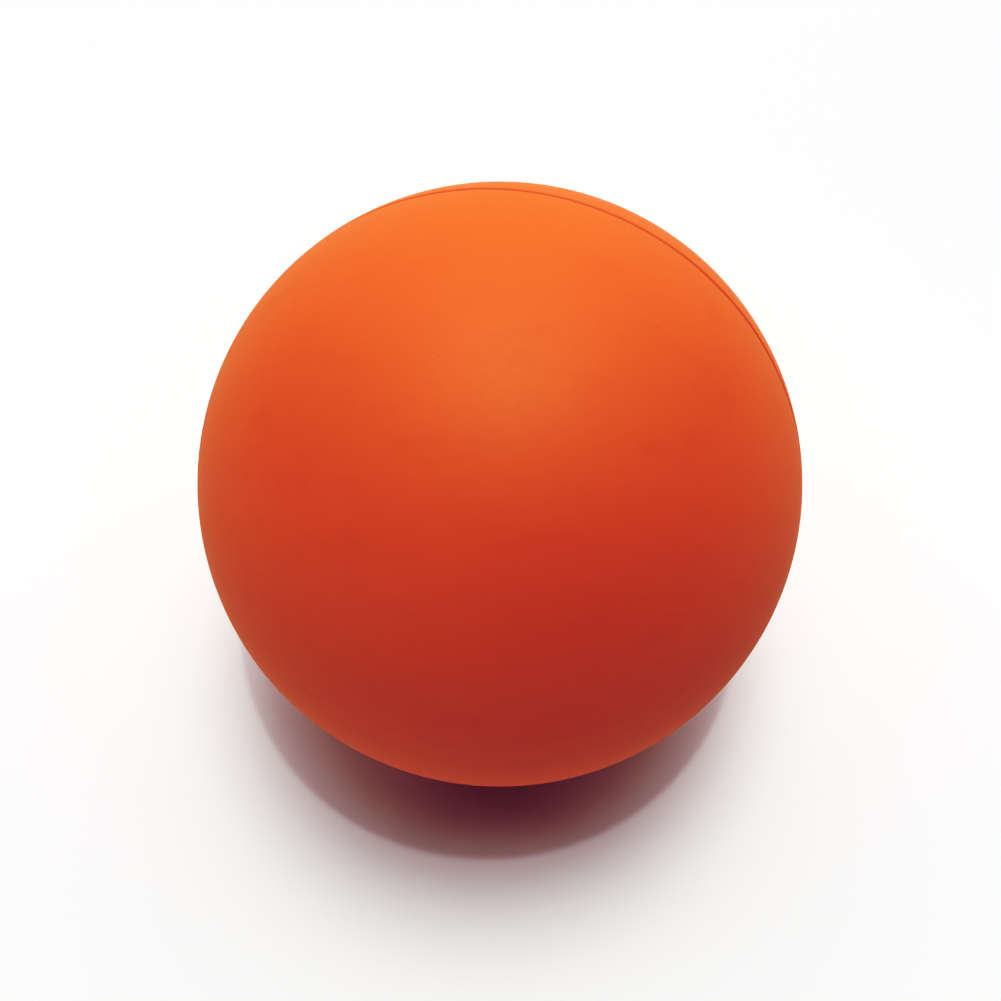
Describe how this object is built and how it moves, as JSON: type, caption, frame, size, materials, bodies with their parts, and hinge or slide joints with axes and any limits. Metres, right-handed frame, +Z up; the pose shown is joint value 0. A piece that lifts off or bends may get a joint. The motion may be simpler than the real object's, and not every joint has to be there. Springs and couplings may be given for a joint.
{
  "type": "hockey training ball",
  "caption": "Smooth matte practice ball for field hockey: moulded cover cups welded at a great-circle seam round a quilted core of cork and yarn.",
  "frame": {"origin": "centre of the ball", "axes": "+Z is up as the ball lies on the floor, and the floor is half a diameter below the origin; the picture is taken looking along +Y and down; the seam's axis leans from +Z towards -Y and a little to -X"},
  "size_m": [0.073, 0.073, 0.073],
  "materials": {
    "cover": "matte moulded PVC, fine even texture",
    "weld": "fused PVC bead, darker than the cover",
    "yarn": "tightly wound natural yarn",
    "cork": "moulded granular cork",
    "centre": "cork-and-rubber compound"
  },
  "bodies": {
    "root": {"cover_cup_front": "cover", "cover_cup_rear": "cover", "seam_weld": "weld", "outer_winding": "yarn", "outer_cork_cup_left": "cork", "outer_cork_cup_right": "cork", "middle_winding": "yarn", "inner_cork_cup_upper": "cork", "inner_cork_cup_lower": "cork", "inner_winding": "yarn", "core_centre": "centre"}
  },
  "joints": []
}
